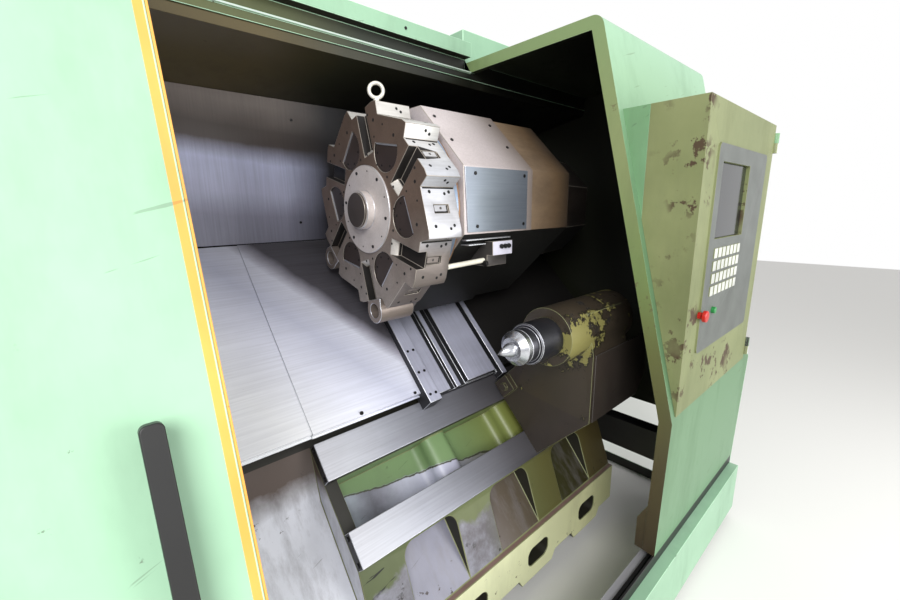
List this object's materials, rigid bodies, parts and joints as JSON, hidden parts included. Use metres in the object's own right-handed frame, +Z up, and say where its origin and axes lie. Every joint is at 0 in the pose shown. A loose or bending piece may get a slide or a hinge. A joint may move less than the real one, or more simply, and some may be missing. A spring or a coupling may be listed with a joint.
{
  "type": "cnc turning lathe",
  "caption": "Slant-bed turning lathe with a pinwheel turret disc, live-centre tailstock, bolted guideways, sliding front door and hinged control cabinet.",
  "frame": {"origin": "on the floor under the middle of the machine", "axes": "+X along the spindle from headstock to tailstock, +Y from the operator to the back, +Z up"},
  "size_m": [3.6, 1.81, 2.4],
  "materials": {
    "bed_paint": "worn green paint over cast iron",
    "ground_steel": "ground and oily",
    "way_cover_steel": "brushed sheet",
    "mint_paint": "semi-gloss",
    "lip_paint": "semi-gloss, scratched",
    "olive_paint": "scratched and rusty",
    "ceiling_paint": "greasy",
    "wall_steel": "dark and oily",
    "black_rail": "satin",
    "strip_steel": "satin",
    "chuck_steel": "ground",
    "bearing_steel": "ground",
    "motor_black": "satin",
    "saddle_steel": "scraped and oily",
    "housing_paint": "worn grey",
    "plate_steel": "brushed",
    "rear_housing_paint": "scratched brown",
    "copper_ring": "oily",
    "disc_steel": "dark phosphated with ground facets",
    "flange_steel": "turned",
    "plug_black": "matte",
    "bolt_black": "black oxide",
    "eye_steel": "zinc plated",
    "nozzle_white": "matte",
    "tailstock_paint": "chipped green paint over brown primer",
    "guard_brown": "greasy",
    "quill_steel": "dark oiled",
    "centre_steel": "ground",
    "window_glass": "clear",
    "orange_strip": "gloss",
    "handle_black": "gloss",
    "screen_black": "gloss",
    "stop_red": "gloss",
    "start_green": "gloss"
  },
  "bodies": {
    "machine": {"bed": "bed_paint", "lower_guideway": "ground_steel", "upper_guideway": "ground_steel", "saddle_rails": "ground_steel", "headstock": "bed_paint", "spindle_bearings": "bearing_steel", "spindle_motor": "motor_black", "headstock_guard": "wall_steel", "fixed_way_cover": "way_cover_steel", "back_wall": "wall_steel", "ceiling": "ceiling_paint", "top_rail": "mint_paint", "sill_rail": "black_rail", "light_strip": "strip_steel", "apron": "mint_paint", "right_frame": "mint_paint", "console_housing": "mint_paint", "left_front_cover": "mint_paint", "left_end_cover": "mint_paint", "right_end_cover": "mint_paint", "rear_cover": "mint_paint", "support_beam": "black_rail", "levelling_feet": "bolt_black", "roof_box": "mint_paint"},
    "saddle_screw": {"saddle_screw": "ground_steel"},
    "saddle": {"saddle": "saddle_steel", "saddle_way_cover": "way_cover_steel", "right_way_cover": "way_cover_steel"},
    "cross_screw": {"cross_screw": "ground_steel"},
    "cross_slide": {"cross_slide": "housing_paint", "turret_housing": "housing_paint", "turret_plate": "plate_steel", "turret_rear_cover": "rear_housing_paint", "seal_ring": "copper_ring", "coolant_block": "housing_paint", "coolant_pipe": "nozzle_white"},
    "turret": {"turret_disc": "disc_steel", "disc_flange": "flange_steel", "hub_cap": "plug_black", "station_plugs": "plug_black", "disc_bolts": "bolt_black", "bar_sockets": "disc_steel", "eyebolt": "eye_steel"},
    "tailstock": {"tailstock": "tailstock_paint", "tailstock_guards": "guard_brown"},
    "quill": {"quill": "quill_steel"},
    "live_centre": {"live_centre": "centre_steel"},
    "spindle": {"spindle": "chuck_steel", "chuck_body": "chuck_steel"},
    "jaw_1": {"chuck_jaw_1": "chuck_steel"},
    "jaw_2": {"chuck_jaw_2": "chuck_steel"},
    "jaw_3": {"chuck_jaw_3": "chuck_steel"},
    "door": {"sliding_door": "mint_paint", "door_window": "window_glass", "door_edge_strip": "orange_strip", "door_handle": "handle_black"},
    "control_door": {"control_door": "olive_paint", "screen": "screen_black"},
    "emergency_stop": {"emergency_stop": "stop_red"},
    "start_button": {"start_button": "start_green"}
  },
  "joints": [
    {"name": "spindle_turn", "type": "hinge", "parent": "machine", "child": "spindle", "pos_m": [-0.9, -0.492, 1.15], "axis": [1, 0, 0], "continuous": true},
    {"name": "jaw_1_slide", "type": "slide", "parent": "spindle", "child": "jaw_1", "axis": [0, 0, 1], "range_m": [-0.01, 0.01]},
    {"name": "jaw_2_slide", "type": "slide", "parent": "spindle", "child": "jaw_2", "axis": [0, -0.866, -0.5], "range_m": [-0.01, 0.01]},
    {"name": "jaw_3_slide", "type": "slide", "parent": "spindle", "child": "jaw_3", "axis": [0, 0.866, -0.5], "range_m": [-0.01, 0.01]},
    {"name": "saddle_slide", "type": "slide", "parent": "machine", "child": "saddle", "axis": [1, 0, 0], "range_m": [-0.41, 0.05]},
    {"name": "saddle_screw_turn", "type": "hinge", "parent": "machine", "child": "saddle_screw", "pos_m": [0.3, 0.21136, 1.11132], "axis": [1, 0, 0], "continuous": true},
    {"name": "cross_slide_move", "type": "slide", "parent": "saddle", "child": "cross_slide", "axis": [0, 0.7071, 0.7071], "range_m": [-0.15, 0.02]},
    {"name": "cross_screw_turn", "type": "hinge", "parent": "saddle", "child": "cross_screw", "pos_m": [0.536, 0.2552, 1.25133], "axis": [0, 0.7071, 0.7071], "continuous": true},
    {"name": "turret_turn", "type": "hinge", "parent": "cross_slide", "child": "turret", "pos_m": [0.3, -0.03295, 1.60905], "axis": [1, 0, 0], "continuous": true},
    {"name": "tailstock_slide", "type": "slide", "parent": "machine", "child": "tailstock", "axis": [1, 0, 0], "range_m": [-0.45, 0.2]},
    {"name": "quill_slide", "type": "slide", "parent": "tailstock", "child": "quill", "axis": [1, 0, 0], "range_m": [-0.05, 0.12]},
    {"name": "live_centre_turn", "type": "hinge", "parent": "quill", "child": "live_centre", "pos_m": [0.45, -0.492, 1.15], "axis": [1, 0, 0], "continuous": true},
    {"name": "door_slide", "type": "slide", "parent": "machine", "child": "door", "axis": [1, 0, 0], "range_m": [0, 1.283]},
    {"name": "control_door_hinge", "type": "hinge", "parent": "machine", "child": "control_door", "pos_m": [1.7113, -0.881, 1.4], "axis": [0, 0, 1], "range_deg": [0, 100]},
    {"name": "emergency_stop_push", "type": "slide", "parent": "control_door", "child": "emergency_stop", "axis": [0, 1, 0], "range_m": [0, 0.006], "stiffness_N_per_m": 900},
    {"name": "start_button_push", "type": "slide", "parent": "control_door", "child": "start_button", "axis": [0, 1, 0], "range_m": [0, 0.005], "stiffness_N_per_m": 500}
  ],
  "couplings": [
    {"joint": "jaw_2_slide", "follows": "jaw_1_slide", "ratio": 1},
    {"joint": "jaw_3_slide", "follows": "jaw_1_slide", "ratio": 1},
    {"joint": "saddle_screw_turn", "follows": "saddle_slide", "rad_per_m": 628.32},
    {"joint": "cross_screw_turn", "follows": "cross_slide_move", "rad_per_m": 785.4}
  ]
}
